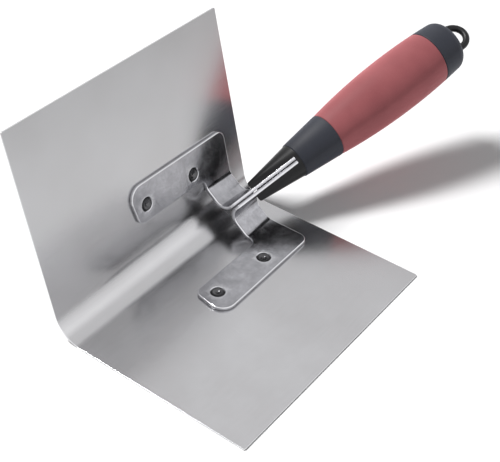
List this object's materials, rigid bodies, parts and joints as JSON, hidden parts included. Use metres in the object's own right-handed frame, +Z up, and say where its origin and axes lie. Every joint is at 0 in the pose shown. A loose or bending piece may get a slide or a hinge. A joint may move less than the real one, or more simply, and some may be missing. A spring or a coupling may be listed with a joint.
{
  "type": "inside corner trowel",
  "caption": "Inside corner trowel with a bent two-wing steel blade, riveted brackets and a soft round handle with a hanging loop.",
  "frame": {"origin": "centre of the resting face, the flat outer face of the right wing", "axes": "+X along the resting wing away from the corner line, +Y along the corner line from the blade's front edge towards the handle, +Z up, away from the resting face"},
  "size_m": [0.1171, 0.241, 0.0928],
  "materials": {
    "blade_steel": "satin, finely brushed",
    "bracket_steel": "tumbled, mottled satin",
    "rivet_steel": "dull",
    "hard_plastic": "semi-gloss moulded",
    "dark_soft_plastic": "matte soft-touch",
    "red_soft_plastic": "matte soft-touch"
  },
  "bodies": {
    "root": {"blade": "blade_steel", "bracket_left": "bracket_steel", "bracket_right": "bracket_steel", "rivet_left_front": "rivet_steel", "rivet_left_rear": "rivet_steel", "rivet_right_front": "rivet_steel", "rivet_right_rear": "rivet_steel", "handle_core": "hard_plastic", "front_collar": "dark_soft_plastic", "grip": "red_soft_plastic", "butt_cap": "dark_soft_plastic", "hang_loop": "hard_plastic"}
  },
  "joints": []
}
